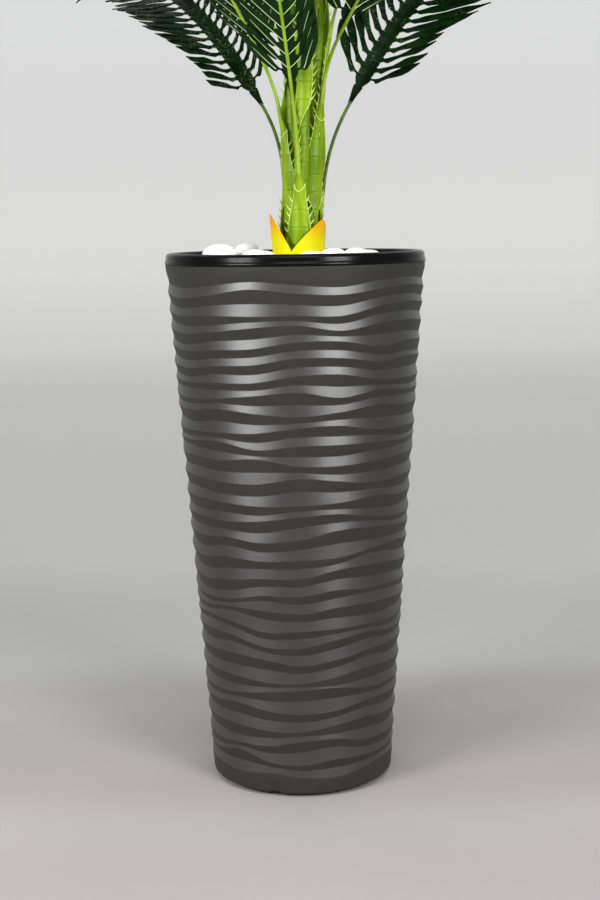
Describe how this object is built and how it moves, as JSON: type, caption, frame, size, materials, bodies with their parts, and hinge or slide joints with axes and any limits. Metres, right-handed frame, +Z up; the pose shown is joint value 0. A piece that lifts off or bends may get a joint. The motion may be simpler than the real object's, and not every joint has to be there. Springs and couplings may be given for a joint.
{
  "type": "potted artificial areca palm",
  "caption": "Artificial areca palm with arching cut fronds on a clump of ringed stems, set in white pebbles in a tall tapered planter with wavy horizontal bands.",
  "frame": {"origin": "middle of the planter's flat underside, on the floor", "axes": "+Z up, -Y towards the front that the picture shows"},
  "size_m": [0.7812, 0.7811, 1.5275],
  "materials": {
    "planter": "matte",
    "liner": "gloss",
    "filling": "matte",
    "pebble": "satin",
    "stem": "satin",
    "stalk": "satin",
    "leaf": "satin",
    "bract": "satin"
  },
  "bodies": {
    "root": {"blade_01": "leaf", "blade_02": "leaf", "blade_03": "leaf", "blade_04": "leaf", "blade_05": "leaf", "blade_06": "leaf", "blade_07": "leaf", "blade_08": "leaf", "blade_09": "leaf", "blade_10": "leaf", "blade_11": "leaf", "blade_12": "leaf", "blade_13": "leaf", "blade_14": "leaf", "blade_15": "leaf", "blade_16": "leaf", "blade_17": "leaf", "blade_18": "leaf", "bract_left": "bract", "bract_right": "bract", "filling": "filling", "liner": "liner", "pebble_01": "pebble", "pebble_02": "pebble", "pebble_03": "pebble", "pebble_04": "pebble", "pebble_05": "pebble", "pebble_06": "pebble", "pebble_07": "pebble", "pebble_08": "pebble", "pebble_09": "pebble", "pebble_10": "pebble", "pebble_11": "pebble", "pebble_12": "pebble", "pebble_13": "pebble", "pebble_14": "pebble", "pebble_bed": "pebble", "planter": "planter", "stalk_01": "stalk", "stalk_02": "stalk", "stalk_03": "stalk", "stalk_04": "stalk", "stalk_05": "stalk", "stalk_06": "stalk", "stalk_07": "stalk", "stalk_08": "stalk", "stalk_09": "stalk", "stalk_10": "stalk", "stalk_11": "stalk", "stalk_12": "stalk", "stalk_13": "stalk", "stalk_14": "stalk", "stalk_15": "stalk", "stalk_16": "stalk", "stalk_17": "stalk", "stalk_18": "stalk", "stem_back": "stem", "stem_front": "stem", "stem_right": "stem"}
  },
  "joints": []
}
